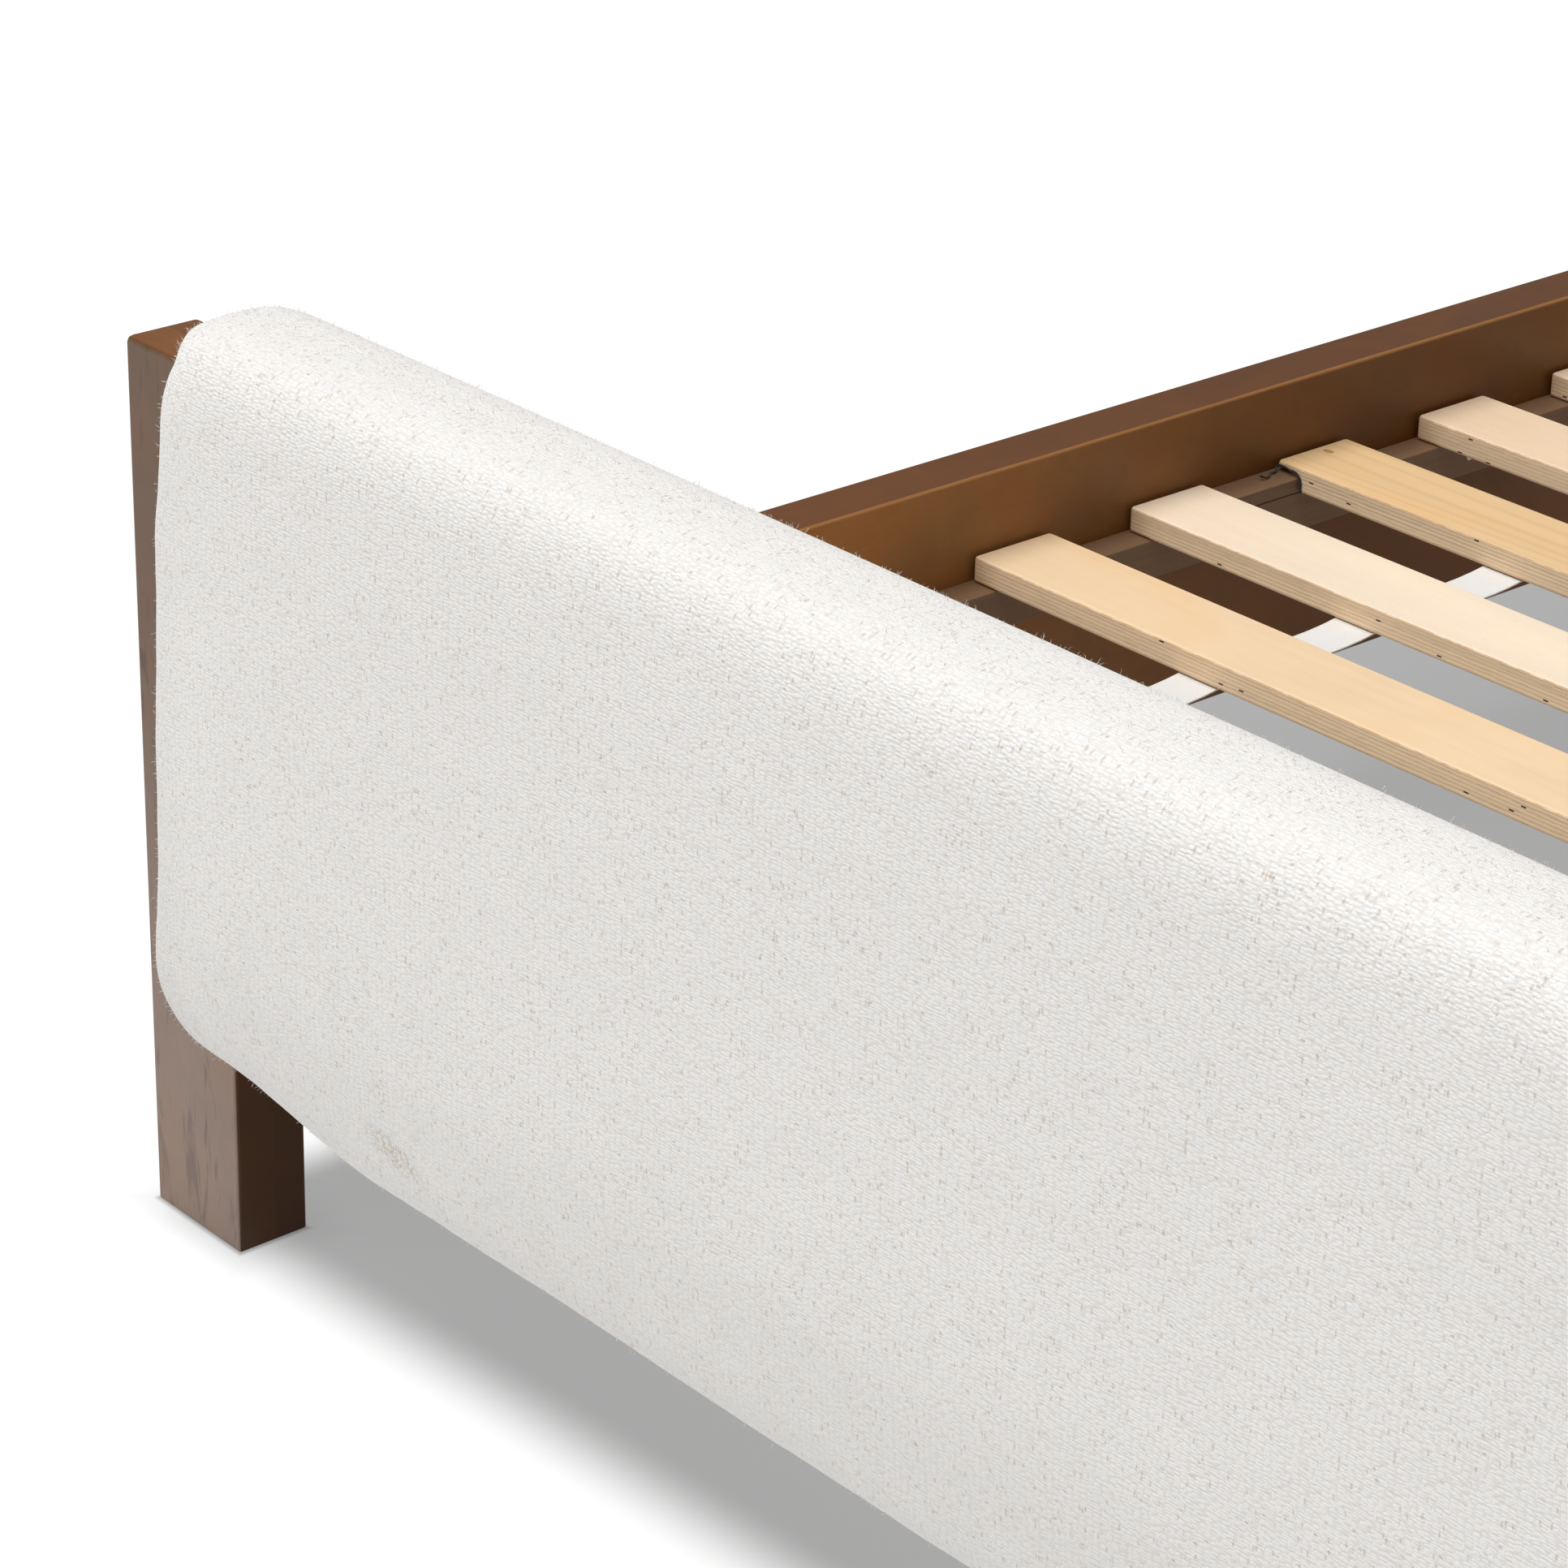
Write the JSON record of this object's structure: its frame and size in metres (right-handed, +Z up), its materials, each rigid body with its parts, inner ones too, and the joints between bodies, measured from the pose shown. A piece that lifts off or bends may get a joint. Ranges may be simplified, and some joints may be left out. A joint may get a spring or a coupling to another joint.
{
  "type": "upholstered bed frame",
  "caption": "Low wooden bed frame: square posts hold padded boucle end panels, with side rails, plywood slats on ledges and a legged centre beam.",
  "frame": {"origin": "on the floor under the middle of the bed (centre of the bounding box, at its bottom)", "axes": "+Z up, +Y from the foot to the head, +X to the right seen from the foot"},
  "size_m": [1.628, 2.295, 1.176],
  "materials": {
    "walnut_stained_wood": "satin walnut stain",
    "ledge_wood": "thin matt stain",
    "birch_plywood": "sanded, clear satin",
    "pine": "planed, unfinished",
    "boucle_fabric": "nubby off-white weave",
    "dust_cloth": "non-woven, matt",
    "cotton_webbing": "flat woven tape",
    "black_steel": "black powder coat",
    "zinc_plated_steel": "zinc plate",
    "glide_plastic": "moulded nylon",
    "black_thread": "spun thread"
  },
  "bodies": {
    "bed_frame": {"foot_post_left": "walnut_stained_wood", "foot_post_right": "walnut_stained_wood", "head_post_left": "walnut_stained_wood", "head_post_right": "walnut_stained_wood", "side_rail_left": "walnut_stained_wood", "side_rail_right": "walnut_stained_wood", "slat_ledge_left": "ledge_wood", "slat_ledge_right": "ledge_wood", "slat_01": "birch_plywood", "slat_02": "birch_plywood", "slat_03": "birch_plywood", "slat_04": "birch_plywood", "slat_05": "birch_plywood", "slat_06": "birch_plywood", "slat_07": "birch_plywood", "slat_08": "birch_plywood", "slat_09": "birch_plywood", "slat_10": "birch_plywood", "slat_11": "birch_plywood", "slat_12": "birch_plywood", "slat_13": "birch_plywood", "slat_stop_block_left": "ledge_wood", "slat_stop_block_right": "ledge_wood", "slat_webbing_left": "cotton_webbing", "slat_webbing_right": "cotton_webbing", "footboard_cushion": "boucle_fabric", "footboard_plywood_core": "pine", "footboard_back_cloth": "dust_cloth", "headboard_cushion": "boucle_fabric", "headboard_plywood_core": "pine", "headboard_back_cloth": "dust_cloth", "headboard_cross_rail": "walnut_stained_wood", "centre_beam": "pine", "foot_beam_hanger": "black_steel", "head_beam_hanger": "black_steel", "centre_leg_1": "pine", "centre_leg_2": "pine", "corner_bracket_foot_left": "black_steel", "bracket_bolt_foot_left_1": "zinc_plated_steel", "bracket_bolt_foot_left_2": "zinc_plated_steel", "panel_bolt_foot_left_1": "zinc_plated_steel", "panel_bolt_foot_left_2": "zinc_plated_steel", "corner_bracket_foot_right": "black_steel", "bracket_bolt_foot_right_1": "zinc_plated_steel", "bracket_bolt_foot_right_2": "zinc_plated_steel", "panel_bolt_foot_right_1": "zinc_plated_steel", "panel_bolt_foot_right_2": "zinc_plated_steel", "corner_bracket_head_left": "black_steel", "bracket_bolt_head_left_1": "zinc_plated_steel", "bracket_bolt_head_left_2": "zinc_plated_steel", "panel_bolt_head_left_1": "zinc_plated_steel", "panel_bolt_head_left_2": "zinc_plated_steel", "corner_bracket_head_right": "black_steel", "bracket_bolt_head_right_1": "zinc_plated_steel", "bracket_bolt_head_right_2": "zinc_plated_steel", "panel_bolt_head_right_1": "zinc_plated_steel", "panel_bolt_head_right_2": "zinc_plated_steel", "loose_thread": "black_thread"},
    "glide_1": {"levelling_glide_1": "glide_plastic"},
    "glide_2": {"levelling_glide_2": "glide_plastic"}
  },
  "joints": [
    {"name": "glide_1_height", "type": "slide", "parent": "bed_frame", "child": "glide_1", "axis": [0, 0, 1], "range_m": [0, 0.012]},
    {"name": "glide_2_height", "type": "slide", "parent": "bed_frame", "child": "glide_2", "axis": [0, 0, 1], "range_m": [0, 0.012]}
  ]
}
